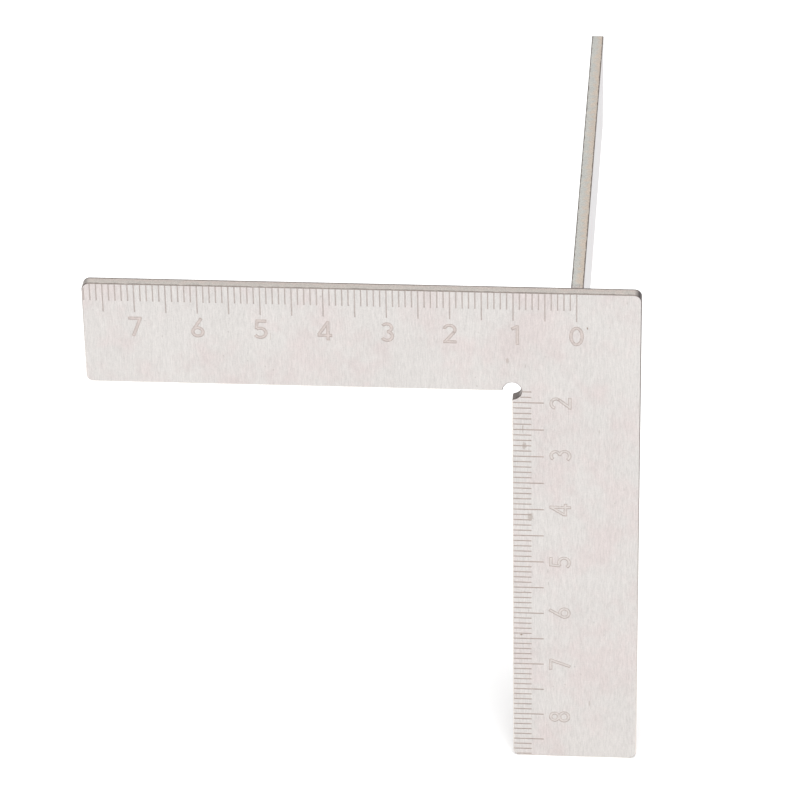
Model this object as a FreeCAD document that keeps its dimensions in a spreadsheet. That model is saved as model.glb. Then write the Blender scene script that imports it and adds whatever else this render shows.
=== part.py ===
import FreeCAD, Part
import os
import Sketcher

# A steel square ruler for leatherwork: two L-shaped plates of 2 mm stainless sheet, welded at a right
# angle. The front plate carries the scales. The cross plate is butted square against its back along
# the zero line, with the top edges flush. Millimetres, +Z up. The origin is at the middle of the
# overall box, on the floor that the two plates' lower ends stand on.

SIZES = {
    # sheet and outline; only the arms' lengths differ between the plates
    "plate_thickness": 2.0,
    "arm_length": 88.5,       # the front plate's
    "cross_arm_length": 91.0,
    "plate_height": 88.4,
    "arm_depth": 17.9,
    "post_width": 20.4,
    "corner_radius": 1.2,
    "relief_radius": 1.5,
    # engraved lines
    "line_width": 0.2,
    "line_depth": 0.05,
    "line_overrun": 0.1,
    "short_line": 3.05,
    "long_line": 5.05,
    "graduation": 1.0,
    "long_step": 5.0,
    "arm_lines": 79,          # along the top edge, 0 to 78 mm
    "arm_long_lines": 16,     # 0 to 75 mm
    "post_first_line": 18.0,  # down the inner edge, counted from the top edge
    "post_lines": 71,         # 18 to 88 mm
    "post_first_long": 20.0,
    "post_long_lines": 14,    # 20 to 85 mm
    # fillet welds in the two corners between the plates
    "weld_leg": 0.9,
    "weld_end_gap": 3.0,
}

doc = FreeCAD.newDocument("square_ruler")
sheet = doc.addObject("Spreadsheet::Sheet", "Sizes")
for row, (alias, value) in enumerate(SIZES.items(), start=1):
    sheet.set("A%d" % row, alias)
    sheet.set("B%d" % row, str(value))
    sheet.setAlias("B%d" % row, alias)
doc.recompute()

ORIGIN = (-1, 1)  # the sketch's own origin point
H_AXIS = -1


def origin_feature(body, role):
    """One of a body's own origin planes or axes."""
    return next(f for f in body.Origin.OriginFeatures if f.Role == role)


def new_sketch(body, name, role):
    """An empty sketch on one of the body's origin planes."""
    sketch = body.newObject("Sketcher::SketchObject", name)
    sketch.AttachmentSupport = [(origin_feature(body, role), "")]
    sketch.MapMode = "FlatFace"
    return sketch


def add_polygon(sketch, corners):
    """A closed polygon of upright and level edges. Returns each corner's (edge, point) handle."""
    count = len(corners)
    for i, (x, y) in enumerate(corners):
        nx, ny = corners[(i + 1) % count]
        sketch.addGeometry(Part.LineSegment(FreeCAD.Vector(x, y, 0), FreeCAD.Vector(nx, ny, 0)), False)
        sketch.addConstraint(Sketcher.Constraint("Horizontal" if y == ny else "Vertical", i))
    for i in range(count):
        sketch.addConstraint(Sketcher.Constraint("Coincident", i, 2, (i + 1) % count, 1))
    return [(i, 1) for i in range(count)]


def dimension(sketch, kind, start, end, value, expression):
    """A driving distance from one point to another, to the right or upwards, bound to the sheet."""
    index = sketch.addConstraint(Sketcher.Constraint(kind, *start, *end, value))
    sketch.setExpression("Constraints[%d]" % index, expression)


def l_plate(name, plane, side, arm):
    """An L plate padded to one side of its plane.

    The sketch's origin is where the zero line crosses the top edge. side is -1 when the top arm runs
    towards the sketch's -x, with the post centred on the zero line, and +1 when it runs towards +x
    from the zero line. arm names the arm's length in the sheet.
    """
    body = doc.addObject("PartDesign::Body", name)
    body.Label = name
    outline = new_sketch(body, name + "_outline", plane)
    half_post = SIZES["post_width"] / 2
    depth, height = SIZES["arm_depth"], SIZES["plate_height"]
    if side < 0:
        outer, inner, tip = half_post, -half_post, half_post - SIZES[arm]
    else:
        outer, inner, tip = 0.0, SIZES["post_width"], SIZES[arm]
    corner = add_polygon(outline, [
        (outer, 0.0), (outer, -height), (inner, -height), (inner, -depth), (tip, -depth), (tip, 0.0)])
    dimension(outline, "DistanceY", corner[1], corner[0], height, "Sizes.plate_height")
    dimension(outline, "DistanceY", corner[4], corner[5], depth, "Sizes.arm_depth")
    if side < 0:
        outline.addConstraint(Sketcher.Constraint("PointOnObject", *corner[0], H_AXIS))
        dimension(outline, "DistanceX", ORIGIN, corner[0], outer, "Sizes.post_width / 2")
        dimension(outline, "DistanceX", corner[2], corner[1], SIZES["post_width"], "Sizes.post_width")
        dimension(outline, "DistanceX", corner[5], corner[0], SIZES[arm], "Sizes." + arm)
    else:
        outline.addConstraint(Sketcher.Constraint("Coincident", *corner[0], *ORIGIN))
        dimension(outline, "DistanceX", corner[1], corner[2], SIZES["post_width"], "Sizes.post_width")
        dimension(outline, "DistanceX", corner[0], corner[5], SIZES[arm], "Sizes." + arm)

    plate = body.newObject("PartDesign::Pad", name + "_sheet")
    plate.Profile = outline
    plate.setExpression("Length", "Sizes.plate_thickness")
    plate.Reversed = side < 0  # the front plate grows backwards from its face
    doc.recompute()

    rounded = body.newObject("PartDesign::Fillet", name + "_corners")
    rounded.Base = (plate, outer_corner_edges(plate.Shape, outline, inner, -depth))
    rounded.setExpression("Radius", "Sizes.corner_radius")

    relief = new_sketch(body, name + "_relief_centre", plane)
    relief.addGeometry(Part.Circle(FreeCAD.Vector(inner, -depth, 0), FreeCAD.Vector(0, 0, 1),
                                   SIZES["relief_radius"]), False)
    radius = relief.addConstraint(Sketcher.Constraint("Radius", 0, SIZES["relief_radius"]))
    relief.setExpression("Constraints[%d]" % radius, "Sizes.relief_radius")
    dimension(relief, "DistanceY", (0, 3), ORIGIN, depth, "Sizes.arm_depth")
    if side < 0:
        dimension(relief, "DistanceX", (0, 3), ORIGIN, half_post, "Sizes.post_width / 2")
    else:
        dimension(relief, "DistanceX", ORIGIN, (0, 3), inner, "Sizes.post_width")
    hole = body.newObject("PartDesign::Pocket", name + "_relief_hole")
    hole.Profile = relief
    hole.Type = "ThroughAll"
    hole.Midplane = True
    return body


def outer_corner_edges(shape, outline, inner, floor_of_arm):
    """The short edges across the sheet's thickness, but for the one at the inner corner."""
    place = outline.getGlobalPlacement().inverse()
    names = []
    for i, edge in enumerate(shape.Edges, start=1):
        if abs(edge.Length - SIZES["plate_thickness"]) > 1e-6:
            continue
        at = place.multVec(edge.Vertexes[0].Point)
        if abs(at.x - inner) > 0.01 or abs(at.y - floor_of_arm) > 0.01:
            names.append("Edge%d" % i)
    return names


def engraved_lines(body, name, corner, far_corner, bindings, axis, step, count):
    """A row of engraved lines: one pocket, repeated along an axis of the body.

    corner and far_corner are the first line's rectangle; bindings name, for each of its four
    distances, the points it runs between and the expression that drives it.
    """
    (x0, y0), (x1, y1) = corner, far_corner
    sketch = new_sketch(body, name + "_line", "XZ_Plane")
    points = add_polygon(sketch, [(x0, y0), (x1, y0), (x1, y1), (x0, y1)])
    for kind, start, end, value, expression in bindings:
        first = ORIGIN if start is None else points[start]
        second = ORIGIN if end is None else points[end]
        dimension(sketch, kind, first, second, value, expression)
    cut = body.newObject("PartDesign::Pocket", name + "_cut")
    cut.Profile = sketch
    cut.setExpression("Length", "Sizes.line_depth")
    doc.recompute()
    row = body.newObject("PartDesign::LinearPattern", name + "_row")
    row.Originals = [cut]
    row.Direction = (origin_feature(body, axis), [""])
    row.Reversed = True
    row.Mode = "Extent"
    row.setExpression("Length", "Sizes.%s * (Sizes.%s - 1)" % (step, count))
    row.setExpression("Occurrences", "Sizes." + count)
    body.Tip = row
    doc.recompute()


def arm_scale(body, name, length, step, count):
    """Lines that start at the top edge, from the zero line towards the arm's tip."""
    half, over = SIZES["line_width"] / 2, SIZES["line_overrun"]
    engraved_lines(body, name, (-half, -SIZES[length]), (half, over), [
        ("DistanceX", 0, None, half, "Sizes.line_width / 2"),
        ("DistanceX", 0, 1, 2 * half, "Sizes.line_width"),
        ("DistanceY", 0, None, SIZES[length], "Sizes." + length),
        ("DistanceY", None, 3, over, "Sizes.line_overrun"),
    ], "X_Axis", step, count)


def post_scale(body, name, first, length, step, count):
    """Lines that start at the post's inner edge, from the first one down to the foot."""
    half, over, edge = SIZES["line_width"] / 2, SIZES["line_overrun"], SIZES["post_width"] / 2
    start, end = (-edge - over, -SIZES[first] - half), (-edge + SIZES[length], -SIZES[first] + half)
    engraved_lines(body, name, start, end, [
        ("DistanceX", 0, None, edge + over, "Sizes.post_width / 2 + Sizes.line_overrun"),
        ("DistanceX", 1, None, edge - SIZES[length], "Sizes.post_width / 2 - Sizes." + length),
        ("DistanceY", 0, None, SIZES[first] + half, "Sizes.%s + Sizes.line_width / 2" % first),
        ("DistanceY", 0, 3, 2 * half, "Sizes.line_width"),
    ], "Z_Axis", step, count)


# Where the zero line meets the top edge on the front face, in the part's own frame.
ZERO_X = "(Sizes.arm_length - Sizes.post_width) / 2"
FRONT_Y = "-(Sizes.plate_thickness + Sizes.cross_arm_length) / 2"
TOP_Z = "Sizes.plate_height"

front_plate = l_plate("front_plate", "XZ_Plane", -1, "arm_length")
arm_scale(front_plate, "arm_millimetre", "short_line", "graduation", "arm_lines")
arm_scale(front_plate, "arm_fifth", "long_line", "long_step", "arm_long_lines")
post_scale(front_plate, "post_millimetre", "post_first_line", "short_line", "graduation", "post_lines")
post_scale(front_plate, "post_fifth", "post_first_long", "long_line", "long_step", "post_long_lines")
front_plate.setExpression("Placement.Base.x", ZERO_X)
front_plate.setExpression("Placement.Base.y", FRONT_Y)
front_plate.setExpression("Placement.Base.z", TOP_Z)

cross_plate = l_plate("cross_plate", "YZ_Plane", 1, "cross_arm_length")
cross_plate.setExpression("Placement.Base.x", ZERO_X + " - Sizes.plate_thickness / 2")
cross_plate.setExpression("Placement.Base.y", FRONT_Y + " + Sizes.plate_thickness")
cross_plate.setExpression("Placement.Base.z", TOP_Z)

welds = []
for name, sign, turn in (("left_weld_seam", "-", 90), ("right_weld_seam", "+", 0)):
    weld = doc.addObject("Part::Cylinder", name)
    weld.Label = name
    weld.Angle = 90  # a quarter round that fills the corner between the plates
    weld.setExpression("Radius", "Sizes.weld_leg")
    weld.setExpression("Height", "Sizes.plate_height - 2 * Sizes.weld_end_gap")
    weld.Placement = FreeCAD.Placement(FreeCAD.Vector(0, 0, 0), FreeCAD.Rotation(turn, 0, 0))
    weld.setExpression("Placement.Base.x", "%s %s Sizes.plate_thickness / 2" % (ZERO_X, sign))
    weld.setExpression("Placement.Base.y", FRONT_Y + " + Sizes.plate_thickness")
    weld.setExpression("Placement.Base.z", "Sizes.weld_end_gap")
    welds.append(weld)
doc.recompute()

failed = [o.Name for o in doc.Objects if "Invalid" in o.State or "Error" in o.State]
if failed:
    raise RuntimeError("failed to build: " + ", ".join(failed))

pieces = [front_plate, cross_plate] + welds
for piece in pieces:
    shape = piece.Shape
    if shape.isNull() or not shape.isValid() or len(shape.Solids) != 1:
        raise RuntimeError(piece.Label + " is not one valid solid")

os.makedirs("parts", exist_ok=True)
for piece in pieces:
    piece.Shape.exportStep(os.path.join("parts", piece.Label + ".step"))
    box = piece.Shape.BoundBox
    print("%-16s volume %9.3f mm3  x %.2f..%.2f  y %.2f..%.2f  z %.2f..%.2f" % (
        piece.Label, piece.Shape.Volume, box.XMin, box.XMax, box.YMin, box.YMax, box.ZMin, box.ZMax))
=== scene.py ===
import math

import bpy
from mathutils import Matrix, Vector, noise
from mathutils.geometry import delaunay_2d_cdt


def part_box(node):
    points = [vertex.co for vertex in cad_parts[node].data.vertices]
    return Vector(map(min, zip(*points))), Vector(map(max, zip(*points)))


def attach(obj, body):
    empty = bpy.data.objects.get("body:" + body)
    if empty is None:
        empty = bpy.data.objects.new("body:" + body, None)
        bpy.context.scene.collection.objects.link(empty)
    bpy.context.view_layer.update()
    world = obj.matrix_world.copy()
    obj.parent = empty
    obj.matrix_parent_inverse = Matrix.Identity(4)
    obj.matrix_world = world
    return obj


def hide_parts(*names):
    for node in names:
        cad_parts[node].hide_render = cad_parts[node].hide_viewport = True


# A steel square ruler: two L-shaped plates welded square to each other. The front plate carries two
# engraved millimetre scales. Lengths are millimetres, apart from the floor's and the light's.

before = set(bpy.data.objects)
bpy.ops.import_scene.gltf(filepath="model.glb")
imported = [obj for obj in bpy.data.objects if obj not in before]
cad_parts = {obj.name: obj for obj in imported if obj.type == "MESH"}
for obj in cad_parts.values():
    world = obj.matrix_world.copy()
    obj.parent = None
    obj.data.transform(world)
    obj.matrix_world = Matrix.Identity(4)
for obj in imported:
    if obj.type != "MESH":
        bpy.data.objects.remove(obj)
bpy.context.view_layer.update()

MM = 0.001

# Sheet and outline; only the arms' lengths differ between the plates.
THICKNESS = 2.0
ARM_LENGTH = 88.5
CROSS_ARM_LENGTH = 91.0
HEIGHT = 88.4
ARM_DEPTH = 17.9
POST_WIDTH = 20.4
CORNER_RADIUS = 1.2
RELIEF_RADIUS = 1.5
RELIEF_BLEND = 0.35    # radius where the relief hole runs out into the two straight edges
EDGE_ROUND = 0.12      # radius of the broken edge between a face and the laser-cut side
EDGE_STEPS = 4
CORNER_STEPS = 12
BLEND_STEPS = 6
RELIEF_STEPS = 44

# Scales. Depths are below the front face.
LINE_WIDTH = 0.2
LINE_DEPTH = 0.05
LINE_INSET = EDGE_ROUND + 0.02    # from the sheet's side to a line's start
SHORT_LINE = 3.05
LONG_LINE = 5.05
LONG_EVERY = 5
ARM_LINES = range(0, 79)
POST_LINES = range(18, 89)
ARM_NUMERALS = range(0, 8)
POST_NUMERALS = range(2, 9)
NUMERAL_SPACING = 10
RIM_DEPTH = 0.04       # a numeral's dark outline
FILL_DEPTH = 0.02      # the paler area inside it
RIM_WIDTH = 0.12
STROKE = 0.155         # stroke width over the numeral's height
BREADTH = 1.08         # how much the numerals are widened
NUMERAL_HEIGHT = 3.5
ARM_NUMERAL_TOP = -5.9        # from the top edge
POST_NUMERAL_TOP = -4.25      # from the zero line
# the numerals aren't quite centred on their lines
ARM_NUMERAL_SHIFT = {1: 0.1, 3: 0.2, 4: 0.15}
POST_NUMERAL_SHIFT = {3: 0.4, 6: 0.2, 8: -0.4}

lo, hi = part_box("front_plate")
ZERO_X = hi.x / MM - POST_WIDTH / 2
FRONT_Y = lo.y / MM
TOP_Z = hi.z / MM


# ---------------------------------------------------------------- node helpers

MIX_FACTOR, MIX_A, MIX_B = 0, 6, 7    # the Mix node's inputs for colours
MIX_RESULT = 2


class Graph:
    """A thin wrapper that adds and links shader nodes."""

    def __init__(self, name):
        self.mat = bpy.data.materials.new(name)
        self.mat.use_nodes = True
        self.tree = self.mat.node_tree
        self.tree.nodes.clear()
        out = self.add("ShaderNodeOutputMaterial")
        self.shader = self.add("ShaderNodeBsdfPrincipled")
        self.link(self.shader, "BSDF", out, "Surface")
        coord = self.add("ShaderNodeTexCoord")
        self.mm = self.scaled(coord.outputs["Object"], (1 / MM,) * 3)

    def add(self, kind, **props):
        node = self.tree.nodes.new(kind)
        for key, value in props.items():
            setattr(node, key, value)
        return node

    def link(self, a, out, b, into):
        self.tree.links.new(a.outputs[out], b.inputs[into])

    def put(self, node, into, value):
        """Sets an input from a number, a colour or another node's output."""
        socket = node.inputs[into]
        if isinstance(value, bpy.types.NodeSocket):
            self.tree.links.new(value, socket)
        elif isinstance(value, tuple) and len(value) == 3 and socket.type == "RGBA":
            socket.default_value = (*value, 1.0)
        else:
            socket.default_value = value

    def scaled(self, vector, scale, shift=(0, 0, 0)):
        node = self.add("ShaderNodeMapping")
        self.put(node, "Vector", vector)
        self.put(node, "Scale", scale)
        self.put(node, "Location", shift)
        return node.outputs["Vector"]

    def noise(self, scale, detail=2.0, rough=0.5, shift=(0, 0, 0)):
        """Noise with about scale cells to the millimetre along each axis."""
        node = self.add("ShaderNodeTexNoise")
        self.put(node, "Vector", self.scaled(self.mm, scale, shift))
        self.put(node, "Scale", 1.0)
        self.put(node, "Detail", detail)
        self.put(node, "Roughness", rough)
        return node.outputs["Fac"]

    def cells(self, scale, shift=(0, 0, 0)):
        """Distance to the nearest of a scatter of points."""
        node = self.add("ShaderNodeTexVoronoi")
        self.put(node, "Vector", self.scaled(self.mm, scale, shift))
        self.put(node, "Scale", 1.0)
        return node.outputs["Distance"]

    def ramp(self, value, low, high, out_low=0.0, out_high=1.0, smooth=True):
        node = self.add("ShaderNodeMapRange")
        node.interpolation_type = "SMOOTHSTEP" if smooth else "LINEAR"
        self.put(node, "Value", value)
        for name, number in (("From Min", low), ("From Max", high),
                             ("To Min", out_low), ("To Max", out_high)):
            self.put(node, name, number)
        return node.outputs["Result"]

    def math(self, op, a, b=0.0):
        node = self.add("ShaderNodeMath", operation=op)
        self.put(node, 0, a)
        self.put(node, 1, b)
        return node.outputs[0]

    def mix(self, factor, a, b, blend="MIX"):
        """Mixes two colours. Their sockets go by number, because the node repeats their names."""
        node = self.add("ShaderNodeMix", data_type="RGBA", blend_type=blend)
        for socket, value in ((MIX_FACTOR, factor), (MIX_A, a), (MIX_B, b)):
            self.put(node, socket, value)
        return node.outputs[MIX_RESULT]

    def times(self, colour, shade):
        """A colour made lighter or darker by a number."""
        return self.mix(1.0, colour, self.grey(shade), "MULTIPLY")

    def grey(self, value):
        """A colour with the same number in all three channels."""
        node = self.add("ShaderNodeCombineColor")
        for name in ("Red", "Green", "Blue"):
            self.put(node, name, value)
        return node.outputs["Color"]

    def attribute(self, name):
        """A number that a plate's mesh holds at each of its points."""
        return self.add("ShaderNodeAttribute", attribute_name=name).outputs["Fac"]

    def axis(self, name):
        """A coordinate in millimetres."""
        node = self.add("ShaderNodeSeparateXYZ")
        self.put(node, "Vector", self.mm)
        return node.outputs[name]

    def bump(self, height, distance, strength=1.0):
        node = self.add("ShaderNodeBump")
        self.put(node, "Height", height)
        self.put(node, "Distance", distance * MM)
        self.put(node, "Strength", strength)
        self.link(node, "Normal", self.shader, "Normal")

    def finish(self, colour, roughness, metallic=1.0):
        self.put(self.shader, "Base Color", colour)
        self.put(self.shader, "Roughness", roughness)
        self.put(self.shader, "Metallic", metallic)
        return self.mat


# ---------------------------------------------------------------- materials

# Base colours, and the tint of the gloss at grazing angles.
STEEL = (0.560, 0.538, 0.522)
PINK = (0.557, 0.506, 0.494)
STAIN = (0.27, 0.21, 0.17)
STRAW = (0.50, 0.40, 0.25)
BRONZE = (0.36, 0.27, 0.24)
SCRATCH = (0.34, 0.31, 0.29)
FRONT_CUT = ((0.735, 0.686, 0.640), (0.730, 0.650, 0.602))    # near the front face, near the back
CROSS_CUT = ((0.715, 0.714, 0.676), (0.762, 0.665, 0.570))    # on the left half, on the right half
CUT_RIM = (0.185, 0.155, 0.138)
# painted shade for the tight curves of the cut side: the dark reflection on the rounded corners and the
# shadowed wall of the relief hole
PAINTED_CURVE_SHADE = (0.100, 0.080, 0.080)
WELD_STRAW = (0.50, 0.44, 0.35)
WELD_BLUE = (0.40, 0.38, 0.40)
GRAZING_TINT = (0.88, 0.90, 0.93)

MARK_FADE = 0.04       # a scratch's soft border, in cells

# The cut side's brown rims, on a scale from 0 in mid-sheet to 1 at the face.
FRONT_RIMS = (0.75, 0.58)
CROSS_RIMS = (0.75, 0.74)
RIM_FADE = 0.16
RIM_STRENGTH = 0.92
SIDE_RIM = 0.12        # how much of the browning is left below the top edge

# Marks of use on the graduated face, in millimetres from the zero mark: where, half sizes, strength.
STAINS = (
    ((-7.35, -41.4), (0.55, 0.85), 0.45),
    ((-8.5, -24.9), (0.09, 0.9), 0.75),
    ((-8.3, -28.0), (0.35, 0.7), 0.45),
    ((-8.8, -64.3), (0.26, 0.14), 1.0),
    ((1.7, -6.2), (0.12, 0.28), 0.9),
    ((-10.9, -12.4), (0.30, 0.55), 0.35),
    ((-48.5, -9.0), (0.07, 0.8), 0.35),
    ((3.7, -25.2), (0.07, 0.6), 0.45),
    ((2.4, -77.6), (0.07, 0.6), 0.5),
)


def heat_tint(g, colour):
    """Straw and bronze bands beside the weld beads, behind the front plate's face."""
    dx = g.math("ABSOLUTE", g.math("SUBTRACT", g.axis("X"), ZERO_X))
    dy = g.math("ABSOLUTE", g.math("SUBTRACT", g.axis("Y"), FRONT_Y + THICKNESS))
    wander = g.ramp(g.noise((0.6, 0.6, 0.35), 3.0), 0.3, 0.7, -0.7, 0.7)
    past_end = g.ramp(g.axis("Z"), TOP_Z - 4.5, TOP_Z - 2.0, 0.0, 3.0)
    away = g.math("ADD", g.math("ADD", g.math("MAXIMUM", dx, dy), past_end), wander)
    behind = g.ramp(g.axis("Y"), FRONT_Y + 1.6, FRONT_Y + 1.95)
    straw = g.math("MULTIPLY", g.ramp(away, 1.8, 3.4, 0.75, 0.0), behind)
    bronze = g.math("MULTIPLY", g.ramp(away, 1.2, 2.2, 0.7, 0.0), behind)
    return g.mix(bronze, g.mix(straw, colour, STRAW), BRONZE)


def stained(g, colour):
    """The marks of use, with ragged borders."""
    x = g.math("SUBTRACT", g.axis("X"), ZERO_X)
    z = g.math("SUBTRACT", g.axis("Z"), TOP_Z)
    ragged = g.noise((3.0, 3.0, 3.0), 3.0, 0.7, (5.0, 5.0, 2.0))
    ragged = g.ramp(ragged, 0.3, 0.7, -0.7, 0.7, False)
    for (at_x, at_z), (half_x, half_z), strength in STAINS:
        dx = g.math("DIVIDE", g.math("SUBTRACT", x, at_x), half_x)
        dz = g.math("DIVIDE", g.math("SUBTRACT", z, at_z), half_z)
        away = g.math("ADD", g.math("MULTIPLY", dx, dx), g.math("MULTIPLY", dz, dz))
        cover = g.ramp(g.math("ADD", away, ragged), 0.3, 1.2, strength, 0.0)
        colour = g.mix(cover, colour, STAIN)
    return colour


def scattered(g, cells, radius, patches):
    """Small marks round scattered points, only where a slow noise allows them."""
    here = g.ramp(g.cells(*cells), radius, radius + MARK_FADE, 1.0, 0.0)
    return g.math("MULTIPLY", here, g.ramp(g.noise(*patches), 0.50, 0.58))


def brushed_steel(name, used=False):
    """Pale sheet with a fine upright grain, faint pink patches, pits and stray scratches."""
    g = Graph(name)
    fine = g.noise((5.5, 5.5, 0.7), 3.0, 0.7)
    broad = g.noise((1.6, 1.6, 0.12), 2.0, 0.5, (3.1, 0.4, 7.7))
    speckle = g.noise((5.5, 5.5, 4.5), 2.0, 0.6, (9.0, 2.0, 1.0))
    cloud = g.noise((0.16, 0.16, 0.14), 4.0, 0.6, (4.2, 0.0, 1.3))
    shadow = g.noise((0.10, 0.10, 0.08), 2.0, 0.5, (8.5, 2.0, 5.1))
    colour = g.mix(g.ramp(cloud, 0.42, 0.68, 0.0, 0.95), STEEL, PINK)
    grain = g.ramp(fine, 0.25, 0.75, 0.87, 1.13, False)
    for part, reach in ((broad, 0.025), (speckle, 0.055), (shadow, 0.02)):
        grain = g.math("ADD", grain, g.ramp(part, 0.28, 0.72, -reach, reach, False))
    colour = g.times(colour, grain)
    scratch = scattered(g, ((0.55, 0.55, 0.13), (1.7, 0, 0.3)), 0.03,
                        ((0.12, 0.12, 0.10), 1.0, 0.5, (2.2, 6.0, 3.3)))
    pit = scattered(g, ((0.5, 0.5, 0.4), (5.2, 0, 2.9)), 0.05,
                    ((0.10, 0.10, 0.12), 1.0, 0.5, (7.7, 1.0, 8.2)))
    marks = g.math("MAXIMUM", scratch, g.math("MULTIPLY", pit, 0.8))
    colour = g.mix(g.math("MULTIPLY", marks, 0.5), colour, SCRATCH)
    colour = stained(g, colour) if used else heat_tint(g, colour)
    rough = g.math("ADD", g.ramp(fine, 0.3, 0.7, 0.33, 0.43, False),
                   g.ramp(broad, 0.3, 0.7, -0.02, 0.02, False))
    height = g.math("ADD", fine, g.math("MULTIPLY", speckle, 0.3))
    height = g.math("SUBTRACT", height, g.math("MULTIPLY", marks, 0.8))
    g.bump(height, 0.006, 0.35)
    g.put(g.shader, "Specular Tint", GRAZING_TINT)
    return g.finish(colour, rough)


def cut_edge(name, halves, rims):
    """The sheet's laser-cut side, in one tone on each half of the sheet's thickness.

    The top edge is browned along both of its rims, and every tight curve is darkened with painted shade:
    the dark reflection on the rounded corners and the shadowed wall of the relief hole. halves are the
    two colours and rims says where the two rims start.
    """
    g = Graph(name)
    mottle = g.noise((0.7, 0.7, 0.7), 4.0, 0.65)
    stripe = g.noise((4.5, 4.5, 4.5), 3.0, 0.65, (6.0, 1.0, 4.0))
    across = g.attribute("across")
    # painted shade on the tight curves: it strengthens their brown rims and then darkens the whole side
    curve_shade = g.attribute("curve_shade")
    lean = g.math("ADD", across, g.ramp(mottle, 0.3, 0.7, -0.8, 0.8, False))
    colour = g.mix(g.ramp(lean, -0.5, 0.6), *halves)
    ragged = g.math("ADD", across, g.ramp(mottle, 0.3, 0.7, -0.08, 0.08, False))
    rim = g.math("MAXIMUM", g.ramp(ragged, -rims[0] - RIM_FADE, -rims[0], 1.0, 0.0),
                 g.ramp(ragged, rims[1], rims[1] + RIM_FADE, 0.0, 1.0))
    browned = g.math("MAXIMUM", g.ramp(g.axis("Z"), TOP_Z - 2.0, TOP_Z - 0.8, SIDE_RIM, 1.0), curve_shade)
    colour = g.mix(g.math("MULTIPLY", g.math("MULTIPLY", rim, RIM_STRENGTH), browned), colour, CUT_RIM)
    colour = g.mix(curve_shade, colour, PAINTED_CURVE_SHADE)
    shade = g.math("ADD", g.ramp(stripe, 0.3, 0.7, 0.82, 1.18, False),
                   g.ramp(mottle, 0.3, 0.7, -0.04, 0.04, False))
    g.bump(stripe, 0.02, 0.45)
    return g.finish(g.times(colour, shade), g.ramp(mottle, 0.3, 0.7, 0.40, 0.52, False))


def etched(name, colour):
    """Laser-darkened steel at the bottom of a mark, slightly uneven along it."""
    g = Graph(name)
    uneven = g.noise((1.4, 1.4, 1.4), 3.0, 0.6, (3.0, 3.0, 9.0))
    crumb = g.noise((9.0, 9.0, 9.0), 2.0, 0.6)
    shade = g.math("ADD", g.ramp(uneven, 0.3, 0.7, 0.88, 1.12, False),
                   g.ramp(crumb, 0.3, 0.7, -0.06, 0.06, False))
    g.bump(crumb, 0.01, 0.3)
    return g.finish(g.times(colour, shade), g.ramp(uneven, 0.3, 0.7, 0.42, 0.52, False), metallic=0.8)


def weld_metal(name):
    """Fused bead: bright crests, straw and blue-grey heat tint."""
    g = Graph(name)
    tint = g.noise((1.0, 1.0, 0.16), 3.0, 0.6)
    crumb = g.noise((4.0, 4.0, 4.0), 3.0, 0.6, (1.0, 7.0, 2.0))
    colour = g.mix(g.ramp(tint, 0.40, 0.60), WELD_STRAW, WELD_BLUE)
    colour = g.times(colour, g.ramp(crumb, 0.3, 0.7, 0.85, 1.12, False))
    g.bump(crumb, 0.02, 0.4)
    return g.finish(colour, g.ramp(crumb, 0.3, 0.7, 0.30, 0.42, False))


SHEET_FACE = brushed_steel("brushed_sheet_face")
GRADUATED_FACE = brushed_steel("graduated_sheet_face", used=True)
FRONT_EDGE = cut_edge("front_plate_cut_edge", FRONT_CUT, FRONT_RIMS)
CROSS_EDGE = cut_edge("cross_plate_cut_edge", CROSS_CUT, CROSS_RIMS)
ARM_LINE_ETCH = etched("etched_arm_line", (0.420, 0.370, 0.348))
POST_LINE_ETCH = etched("etched_post_line", (0.432, 0.368, 0.338))
RIM_ETCH = etched("etched_numeral_outline", (0.450, 0.390, 0.364))
ARM_FILL = etched("etched_numeral_fill", (0.518, 0.461, 0.438))
POST_FILL = etched("etched_numeral_pale_fill", (0.552, 0.514, 0.493))
WELD = weld_metal("weld_bead")


# ---------------------------------------------------------------- the L outline

def arc(cx, cy, radius, start, end, steps, curve_shades):
    """Points round part of a circle: where each is, its direction from the centre and its painted shade.

    Angles are in degrees. The last argument gives how much painted shade the side gets at the start,
    half-way round and at the end.
    """
    out = []
    for k in range(steps + 1):
        t = k / steps
        a = math.radians(start + (end - start) * t)
        near = curve_shades[0] if t < 0.5 else curve_shades[2]
        curve_shade = near + (curve_shades[1] - near) * (1 - abs(2 * t - 1))
        away = (math.cos(a), math.sin(a))
        out.append(((cx + radius * away[0], cy + radius * away[1]), away, curve_shade))
    return out


# Painted shade on each curve's side at the start, half-way round and at the end: the dark reflection on
# the rounded corners and the shadowed wall of the relief hole.
ZERO_CORNER_SHADE = (0.1, 1.0, 0.9)
TIP_CORNER_SHADE = (0.5, 0.5, 0.1)
LOW_CORNER_SHADE = (0.0, 0.3, 0.0)
INTO_HOLE_SHADE = (0.0, 0.7, 0.72)
HOLE_SHADE = (0.72, 0.62, 0.72)
OUT_OF_HOLE_SHADE = (0.72, 0.7, 0.0)


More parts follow.
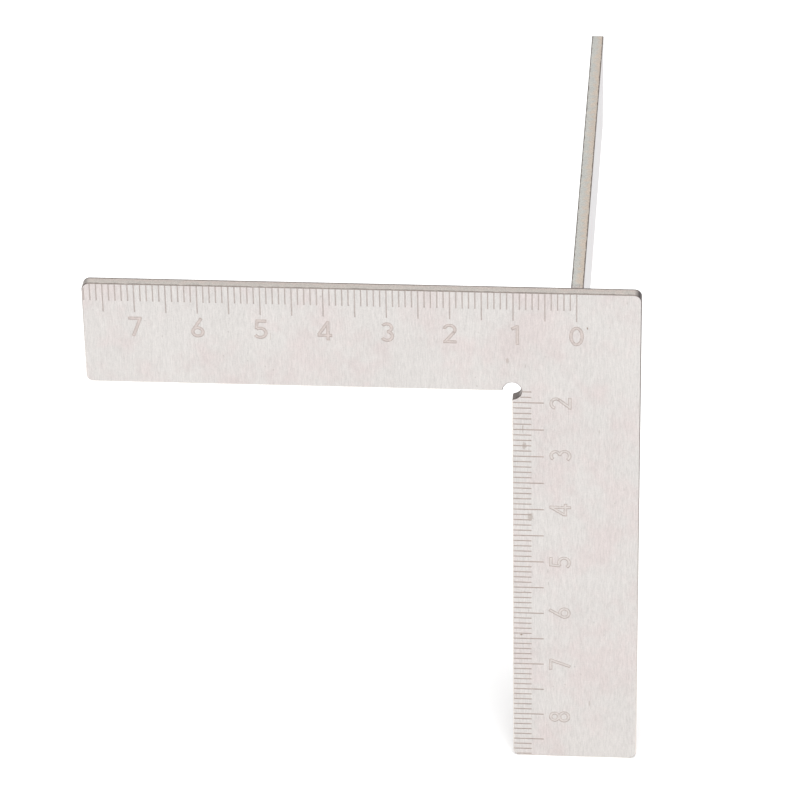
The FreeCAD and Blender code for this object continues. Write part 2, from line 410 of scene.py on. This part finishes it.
def outline(arm, inset):
    """The plate's closed outline, moved inwards by inset, anticlockwise from the outer top corner.

    Measured from the outer top corner: the arm runs towards +x and the post towards -y. Each entry is
    a point, the outward normal of the side there, and how much painted shade the side gets.
    """
    r, q, w, d = CORNER_RADIUS, RELIEF_BLEND, POST_WIDTH, ARM_DEPTH
    corner, blend, hole = r - inset, q - inset, RELIEF_RADIUS + inset
    points = arc(r, -r, corner, 90, 180, CORNER_STEPS, ZERO_CORNER_SHADE)
    points += arc(r, -HEIGHT + r, corner, 180, 270, CORNER_STEPS, LOW_CORNER_SHADE)
    points += arc(w - r, -HEIGHT + r, corner, 270, 360, CORNER_STEPS, LOW_CORNER_SHADE)
    # the relief hole, from the post's inner edge round to the arm's lower edge, blended into both
    reach = RELIEF_RADIUS + q
    run = math.sqrt(reach ** 2 - q ** 2)
    skew = math.degrees(math.asin(q / reach))
    points += arc(w - q, -d - run, blend, 0, 90 - skew, BLEND_STEPS, INTO_HOLE_SHADE)
    ring = arc(w, -d, hole, 270 - skew, skew, RELIEF_STEPS, HOLE_SHADE)
    points += [(at, (-out[0], -out[1]), curve_shade) for at, out, curve_shade in ring][1:-1]
    points += arc(w + run, -d + q, blend, 180 + skew, 270, BLEND_STEPS, OUT_OF_HOLE_SHADE)
    points += arc(arm - r, -d + r, corner, 270, 360, CORNER_STEPS, LOW_CORNER_SHADE)
    points += arc(arm - r, -r, corner, 0, 90, CORNER_STEPS, TIP_CORNER_SHADE)
    return points


# ---------------------------------------------------------------- numerals

def stroke_line(x0, y0, x1, y1):
    return [(x0, y0), (x1, y1)]


def stroke_arc(cx, cy, rx, ry, start, end):
    """Part of an ellipse, from one angle to another in degrees."""
    steps = max(8, int(abs(end - start) / 12))
    angles = [math.radians(start + (end - start) * k / steps) for k in range(steps + 1)]
    return [(cx + rx * math.cos(a), cy + ry * math.sin(a)) for a in angles]


# Plain geometric numerals: stroke centre lines in a cell 0.6 wide and 1 high.
CELL_MIDDLE = 0.30
NUMERALS = {
    0: [stroke_arc(0.30, 0.50, 0.235, 0.425, 0, 360)],
    1: [stroke_line(0.45, 0.0, 0.45, 1.0), stroke_line(0.47, 0.955, 0.20, 0.80)],
    2: [stroke_arc(0.29, 0.70, 0.225, 0.225, 170, -35), stroke_line(0.474, 0.571, 0.075, 0.04),
        stroke_line(0.02, 0.075, 0.58, 0.075)],
    3: [stroke_arc(0.26, 0.725, 0.20, 0.20, 150, -90), stroke_arc(0.26, 0.30, 0.225, 0.225, 90, -152)],
    4: [stroke_line(0.44, 0.0, 0.44, 1.0), stroke_line(0.455, 0.965, 0.045, 0.285),
        stroke_line(0.0, 0.26, 0.62, 0.26)],
    5: [stroke_line(0.12, 0.925, 0.55, 0.925), stroke_line(0.165, 1.0, 0.115, 0.49),
        stroke_arc(0.275, 0.315, 0.24, 0.24, 130, -150)],
    6: [stroke_arc(0.29, 0.29, 0.215, 0.215, 0, 360), stroke_line(0.452, 1.0, 0.104, 0.3975)],
    7: [stroke_line(0.02, 0.925, 0.58, 0.925), stroke_line(0.545, 0.98, 0.20, 0.0)],
    8: [stroke_arc(0.29, 0.735, 0.19, 0.19, 0, 360), stroke_arc(0.29, 0.29, 0.215, 0.215, 0, 360)],
}


def stroke_quads(path, width, trim):
    """The quads of a stroke of a given width along a path; trim shortens its open ends."""
    pts = [Vector(p) for p in path]
    closed = (pts[0] - pts[-1]).length < 1e-6
    if closed:
        pts.pop()
    else:
        pts[0] = pts[0] + (pts[1] - pts[0]).normalized() * trim
        pts[-1] = pts[-1] + (pts[-2] - pts[-1]).normalized() * trim
    sides = []
    for i, p in enumerate(pts):
        before = pts[i - 1] if closed or i > 0 else p
        after = pts[(i + 1) % len(pts)] if closed or i < len(pts) - 1 else p
        along = (after - before).normalized()
        across = Vector((-along.y, along.x)) * (width / 2)
        sides.append((p + across, p - across))
    following = sides[1:] + sides[:1]
    quads = [[a[0], a[1], b[1], b[0]] for a, b in zip(sides, following)]
    return quads if closed else quads[:-1]


def numeral_quads(digit, place):
    """Outline and fill quads of a numeral, placed on the plate by a function of its own millimetres."""
    rim, fill = [], []
    height, width = NUMERAL_HEIGHT, STROKE * NUMERAL_HEIGHT
    for path in NUMERALS[digit]:
        scaled = [((x - CELL_MIDDLE) * height * BREADTH, (y - 1.0) * height) for x, y in path]
        for quads, trim in ((rim, 0.0), (fill, RIM_WIDTH)):
            for quad in stroke_quads(scaled, width - 2 * trim, trim):
                quads.append([place(p) for p in quad])
    return rim, fill


def rectangle(x0, y0, x1, y1):
    return [Vector((x0, y0)), Vector((x1, y0)), Vector((x1, y1)), Vector((x0, y1))]


def line_start(past):
    """Where a line starts inside the edge; past is how far it is beyond an outer corner's centre."""
    reach = CORNER_RADIUS - LINE_INSET
    return CORNER_RADIUS - math.sqrt(reach ** 2 - max(0.0, past) ** 2)


def scale_marks():
    """Every mark on the front plate, as {kind: quads}, measured from the zero mark on the top edge."""
    half = LINE_WIDTH / 2
    marks = {"arm_line": [], "post_line": [], "rim": [], "arm_fill": [], "post_fill": []}
    for mm in ARM_LINES:
        length = LONG_LINE if mm % LONG_EVERY == 0 else SHORT_LINE
        start = line_start(mm + half - (ARM_LENGTH - POST_WIDTH / 2 - CORNER_RADIUS))
        marks["arm_line"].append(rectangle(-mm - half, -length, -mm + half, -start))
    edge, clear = -POST_WIDTH / 2, RELIEF_RADIUS + LINE_INSET
    for mm in POST_LINES:
        length = LONG_LINE if mm % LONG_EVERY == 0 else SHORT_LINE
        start = edge + line_start(mm + half - (HEIGHT - CORNER_RADIUS))
        drop = max(0.0, abs(mm - ARM_DEPTH) - half)  # the first two lines start at the relief hole
        if drop < clear + RELIEF_BLEND:
            start = edge + max(math.sqrt(max(0.0, clear ** 2 - drop ** 2)), 2 * LINE_INSET)
        marks["post_line"].append(rectangle(start, -mm - half, edge + length, -mm + half))
    for digit in ARM_NUMERALS:
        x = ARM_NUMERAL_SHIFT.get(digit, 0.0) - NUMERAL_SPACING * digit
        rim, fill = numeral_quads(digit, lambda p: Vector((p.x + x, p.y + ARM_NUMERAL_TOP)))
        marks["rim"] += rim
        marks["arm_fill"] += fill
    for digit in POST_NUMERALS:  # these lie on their sides, tops to the left
        y = POST_NUMERAL_SHIFT.get(digit, 0.0) - NUMERAL_SPACING * digit
        rim, fill = numeral_quads(digit, lambda p: Vector((POST_NUMERAL_TOP - p.y, p.x + y)))
        marks["rim"] += rim
        marks["post_fill"] += fill
    return marks


# ---------------------------------------------------------------- plates

# Places in a plate's list of materials: its front face, its cut sides, its back, then its marks.
FACE, SIDE, BACK, ARM_LINE, POST_LINE, RIM, ARM_INSIDE, POST_INSIDE = range(8)
LEVELS = {  # kind of mark: depth, material; later kinds lie over earlier ones
    "face": (0.0, FACE),
    "arm_line": (LINE_DEPTH, ARM_LINE),
    "post_line": (LINE_DEPTH, POST_LINE),
    "rim": (RIM_DEPTH, RIM),
    "arm_fill": (FILL_DEPTH, ARM_INSIDE),
    "post_fill": (FILL_DEPTH, POST_INSIDE),
}
FRONT_MATERIALS = [GRADUATED_FACE, FRONT_EDGE, SHEET_FACE,
                   ARM_LINE_ETCH, POST_LINE_ETCH, RIM_ETCH, ARM_FILL, POST_FILL]
CROSS_MATERIALS = [SHEET_FACE, CROSS_EDGE, SHEET_FACE]


def mesh_object(name, points, faces, materials):
    """A smooth-shaded object in the scene, made from points in the frame."""
    mesh = bpy.data.meshes.new(name)
    mesh.from_pydata(points, [], faces)
    for material in materials:
        mesh.materials.append(material)
    mesh.polygons.foreach_set("use_smooth", [True] * len(faces))
    mesh.update()
    obj = bpy.data.objects.new(name, mesh)
    bpy.context.scene.collection.objects.link(obj)
    return obj


class Shell:
    """Collects a mesh's points and faces, with each corner's normal."""

    def __init__(self, place):
        self.place = place  # from (x, y, depth) in millimetres to a point in the frame
        self.points, self.faces, self.mats, self.normals = [], [], [], []
        # the second list is each point's painted shade on tight curves, read by the cut side's material
        self.across, self.curve_shade = [], []

    def point(self, x, y, depth, curve_shade=0.0):
        """Adds a point and returns its number."""
        self.points.append(self.place(x, y, depth) * MM)
        self.across.append(2 * depth / THICKNESS - 1)
        self.curve_shade.append(curve_shade)
        return len(self.points) - 1

    def direction(self, x, y, depth):
        """A unit vector in the frame, from one in the plate's own directions."""
        zero = self.place(0, 0, 0)
        return (self.place(x, y, depth) - zero).normalized()

    def face(self, corners, normals, material):
        """Adds a face, turned so that it looks the way its normals do."""
        a, b, c = (self.points[i] for i in corners[:3])
        turned = (b - a).cross(c - a).dot(sum(normals, Vector())) < 0
        step = -1 if turned else 1
        self.faces.append(list(corners)[::step])
        self.normals += list(normals)[::step]
        self.mats.append(material)

    def build(self, name, materials):
        obj = mesh_object(name, self.points, self.faces, materials)
        obj.data.polygons.foreach_set("material_index", self.mats)
        for key, values in (("across", self.across), ("curve_shade", self.curve_shade)):
            obj.data.attributes.new(key, "FLOAT", "POINT").data.foreach_set("value", values)
        obj.data.update()
        obj.data.normals_split_custom_set([n.to_tuple() for n in self.normals])
        return obj


TOUCHING = 1e-5        # points closer than this are one


def triangulate(border, groups):
    """Triangles inside a border, each with the kind of mark that it lies in."""
    points = [Vector(p) for p in border]
    faces, kinds = [list(range(len(points)))], ["border"]
    for kind, quads in groups.items():
        for quad in quads:
            area = sum(quad[i].cross(quad[(i + 1) % 4]) for i in range(4))
            start = len(points)
            points += quad if area > 0 else quad[::-1]
            faces.append(list(range(start, start + 4)))
            kinds.append(kind)
    verts, _, tris, _, _, origins = delaunay_2d_cdt(points, [], faces, 1, TOUCHING)
    order = list(LEVELS)
    triangles = []
    for tri, origin in zip(tris, origins):
        inside = [kinds[i] for i in origin]
        if "border" in inside:
            inside.remove("border")
            triangles.append((tri, max(inside, key=order.index) if inside else "face"))
    return verts, triangles


def edge_profile():
    """The steps across the sheet's side: inset, depth and the normal's lean from the front face's."""
    near = []
    for k in range(EDGE_STEPS + 1):
        a = math.pi / 2 * k / EDGE_STEPS
        near.append((EDGE_ROUND * (1 - math.sin(a)), EDGE_ROUND * (1 - math.cos(a)), a))
    return near + [(inset, THICKNESS - depth, math.pi - a) for inset, depth, a in reversed(near)]


def cut_side(shell, rings, profile, outward):
    """The faces between the rings of points round a plate, one ring for each step of the profile."""
    count = len(outward)
    for level in range(len(profile) - 1):
        near, far = rings[level], rings[level + 1]
        near_lean, far_lean = profile[level][2], profile[level + 1][2]
        for i in range(count):
            j = (i + 1) % count
            normals = []
            for index, lean in ((i, near_lean), (j, near_lean), (j, far_lean), (i, far_lean)):
                out = outward[index] * math.sin(lean)
                normals.append(shell.direction(out.x, out.y, -math.cos(lean)))
            shell.face((near[i], near[j], far[j], far[i]), normals, SIDE)


def marked_face(shell, border, ids, marks):
    """The front face inside a border, whose points have the ids, with the marks sunk into it."""
    verts, triangles = triangulate(border, marks)
    known = {(i, 0.0): ids[i] for i in range(len(ids))}

    def sunk(i, depth):
        if (i, depth) not in known:
            known[(i, depth)] = shell.point(verts[i].x, verts[i].y, depth)
        return known[(i, depth)]

    front = shell.direction(0, 0, -1)
    beside = {}  # an edge's one or two triangles
    for tri, kind in triangles:
        depth, material = LEVELS[kind]
        shell.face([sunk(i, depth) for i in tri], [front] * 3, material)
        for k in range(3):
            edge = (tri[k], tri[(k + 1) % 3])
            beside.setdefault(frozenset(edge), []).append((edge, depth, material))
    # walls, where two depths meet
    for pair in beside.values():
        if len(pair) == 2 and pair[0][1] != pair[1][1]:
            high, low = sorted(pair, key=lambda item: item[1])
            a, b = low[0]
            along = (verts[b] - verts[a]).normalized()
            normal = shell.direction(-along.y, along.x, 0)
            corners = (sunk(a, high[1]), sunk(b, high[1]), sunk(b, low[1]), sunk(a, low[1]))
            shell.face(corners, [normal] * 4, low[2])


def l_plate(name, arm, flip, origin, place, materials, marks):
    """One plate. flip turns the arm towards -x; origin moves the outline to the plate's own zero."""
    shell = Shell(place)
    sign = -1 if flip else 1

    def border(inset):
        return [(origin + sign * at[0], at[1], curve_shade) for at, _, curve_shade in outline(arm, inset)]

    profile = edge_profile()
    rings = [[shell.point(x, y, depth, curve_shade) for x, y, curve_shade in border(inset)]
             for inset, depth, _ in profile]
    outward = [Vector((sign * out[0], out[1])) for _, out, _ in outline(arm, 0.0)]
    cut_side(shell, rings, profile, outward)

    # the flat faces, whose borders are taken anticlockwise
    flat = [(x, y) for x, y, _ in border(EDGE_ROUND)][::sign]
    front_ids, back_ids = rings[0][::sign], rings[-1][::sign]
    back = shell.direction(0, 0, 1)
    for tri, _ in triangulate(flat, {})[1]:
        shell.face([back_ids[i] for i in tri], [back] * 3, BACK)
    marked_face(shell, flat, front_ids, marks)
    return shell.build(name, materials)


front = l_plate("graduated_front_plate", ARM_LENGTH, True, POST_WIDTH / 2,
                lambda x, y, depth: Vector((ZERO_X + x, FRONT_Y + depth, TOP_Z + y)),
                FRONT_MATERIALS, scale_marks())
CROSS_X = ZERO_X - THICKNESS / 2
CROSS_Y = FRONT_Y + THICKNESS
cross = l_plate("plain_cross_plate", CROSS_ARM_LENGTH, False, 0.0,
                lambda x, y, depth: Vector((CROSS_X + depth, CROSS_Y + x, TOP_Z + y)),
                CROSS_MATERIALS, {})


# ---------------------------------------------------------------- welds

WELD_LEG = 0.9
WELD_END_GAP = 3.0     # from the bead's ends to the plates' ends
BEAD_TAPER = 0.8       # length of the rounded end
BEAD_TIP = 0.03        # size left at the very end, over the full size
RIPPLE = 0.85          # spacing of the bead's scales
BEAD_STEP = 0.14
BEAD_SIDES = 10
BEAD_CREASE = 50       # degrees
BEAD_BOW = 0.35        # how far a scale is shifted at mid-bead
BEAD_WANDER = 0.25     # how uneven the scales' spacing is
# these are over the leg
BEAD_SIZE = 0.90
TOE_SIZE = 0.93
TOE_WANDER = 0.06
SCALE_HEIGHT = 0.07
SWELL = 0.05
HOLLOW = 0.06


def bead_radius(z, step, side):
    """The bead's radius over its leg, at a height and a step round the quarter turn."""
    if step in (0, BEAD_SIDES):
        return TOE_SIZE + TOE_WANDER * noise.noise(Vector((z * 0.9, step, side * 3.0)))
    a = math.pi / 2 * step / BEAD_SIDES
    crown = math.sin(2 * a)
    wander = BEAD_WANDER * noise.noise(Vector((z * 0.35, side * 5.0, 0)))
    phase = (z + BEAD_BOW * crown + wander) / RIPPLE
    scale = (phase - math.floor(phase)) ** 1.6
    swell = SWELL * noise.noise(Vector((z * 0.5, a, side * 9.0)))
    return BEAD_SIZE + (SCALE_HEIGHT * scale + swell - HOLLOW) * crown


def weld_seam(name, side):
    """A fillet bead up the corner between the plates, with overlapping scales and rounded ends."""
    shell = Shell(lambda x, y, z: Vector((x, y, z)))
    length = HEIGHT - 2 * WELD_END_GAP
    steps = int(length / BEAD_STEP)
    x0, y0 = ZERO_X + side * THICKNESS / 2, FRONT_Y + THICKNESS
    rings = []
    for k in range(steps + 1):
        z = length * k / steps
        full = min(1.0, min(z, length - z) / BEAD_TAPER)
        taper = BEAD_TIP + (1 - BEAD_TIP) * math.sqrt(1 - (1 - full) ** 2)
        ring = [(x0, y0)]
        for step in range(BEAD_SIDES + 1):
            a = math.pi / 2 * step / BEAD_SIDES
            radius = WELD_LEG * taper * bead_radius(z, step, side)
            ring.append((x0 + side * radius * math.cos(a), y0 + radius * math.sin(a)))
        rings.append([shell.point(x, y, WELD_END_GAP + z) for x, y in ring])
    for a, b in zip(rings, rings[1:]):
        middle = sum((shell.points[i] for i in a), Vector()) / len(a)
        for i in range(len(a)):
            j = (i + 1) % len(a)
            corners = (a[i], a[j], b[j], b[i])
            out = (shell.points[a[i]] + shell.points[a[j]]) / 2 - middle
            shell.face(corners, [out.normalized()] * 4, 0)
    for ring, up in ((rings[0], -1), (rings[-1], 1)):
        shell.face(ring, [Vector((0, 0, up))] * len(ring), 0)
    obj = mesh_object(name, shell.points, shell.faces, [WELD])
    obj.data.set_sharp_from_angle(angle=math.radians(BEAD_CREASE))
    return obj


left_weld = weld_seam("left_weld_bead", -1)
right_weld = weld_seam("right_weld_bead", 1)

for piece, node, slot in ((front, "front_plate", "front_plate"), (cross, "cross_plate", "cross_plate"),
                          (left_weld, "left_weld_seam", "weld"), (right_weld, "right_weld_seam", "weld")):
    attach(piece, "root")
    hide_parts(node)


# ---------------------------------------------------------------- floor, light and camera

# The floor and the light are in metres.
FLOOR_SIZE = 12.0
FLOOR_TONES = ((0.93, 0.93, 0.93), (0.95, 0.95, 0.95))
SOFTBOX_AT = (0.2, -1.0, 1.8)
SOFTBOX_SIZE = 2.6
SOFTBOX_POWER = 46.0
ZERO_MARK = Vector((ZERO_X, FRONT_Y, TOP_Z)) * MM
CAMERA_AT = ZERO_MARK + Vector((22.78, -606.81, 340.49)) * MM
CAMERA_AIM = ZERO_MARK + Vector((-28.09, 0.0, -20.07)) * MM
CAMERA_ROLL = -1.07    # degrees
LENS = 199.8           # millimetres, on the sensor below
SENSOR = 36.0


def floor():
    g = Graph("pale_floor")
    cloud = g.noise((0.01, 0.01, 0.01), 2.0)
    g.put(g.shader, "Specular IOR Level", 0.1)
    pale = g.finish(g.mix(cloud, *FLOOR_TONES), 0.9, 0.0)
    half = FLOOR_SIZE / 2
    corners = [(-half, -half, 0), (half, -half, 0), (half, half, 0), (-half, half, 0)]
    mesh_object("floor", corners, [(0, 1, 2, 3)], [pale])


def area_light(name, at, aim, size, power):
    data = bpy.data.lights.new(name, "AREA")
    data.shape, data.size, data.energy = "DISK", size, power
    obj = bpy.data.objects.new(name, data)
    obj.location = at
    obj.rotation_euler = (Vector(aim) - Vector(at)).to_track_quat("-Z", "Y").to_euler()
    bpy.context.scene.collection.objects.link(obj)


def studio_world(horizon, above, top):
    """A soft white surround, whose strength goes from horizon to above as directions rise to top."""
    scene = bpy.context.scene
    scene.world = bpy.data.worlds.new("studio")
    scene.world.use_nodes = True
    tree = scene.world.node_tree
    coord, split, ramp = (tree.nodes.new(kind) for kind in (
        "ShaderNodeTexCoord", "ShaderNodeSeparateXYZ", "ShaderNodeMapRange"))
    ramp.interpolation_type = "SMOOTHSTEP"
    ramp.inputs["From Max"].default_value = top
    ramp.inputs["To Min"].default_value = horizon
    ramp.inputs["To Max"].default_value = above
    tree.links.new(coord.outputs["Generated"], split.inputs["Vector"])
    tree.links.new(split.outputs["Z"], ramp.inputs["Value"])
    background = tree.nodes["Background"]
    background.inputs["Color"].default_value = (1.0, 1.0, 1.0, 1.0)
    tree.links.new(ramp.outputs["Result"], background.inputs["Strength"])


def camera():
    data = bpy.data.cameras.new("camera")
    data.sensor_width, data.lens = SENSOR, LENS
    data.clip_start, data.clip_end = 0.01, 50.0
    obj = bpy.data.objects.new("camera", data)
    back = (CAMERA_AT - CAMERA_AIM).normalized()
    level = Vector((0, 0, 1)).cross(back).normalized()
    up = back.cross(level)
    roll = math.radians(CAMERA_ROLL)
    right = level * math.cos(roll) + up * math.sin(roll)
    above = up * math.cos(roll) - level * math.sin(roll)
    turn = Matrix((right, above, back)).transposed()
    obj.matrix_world = Matrix.Translation(CAMERA_AT) @ turn.to_4x4()
    bpy.context.scene.collection.objects.link(obj)
    bpy.context.scene.camera = obj


floor()
studio_world(horizon=0.12, above=0.86, top=0.42)
area_light("overhead_softbox", SOFTBOX_AT, (0.0, 0.0, 0.0), SOFTBOX_SIZE, SOFTBOX_POWER)
camera()
bpy.context.scene.view_settings.view_transform = "Standard"
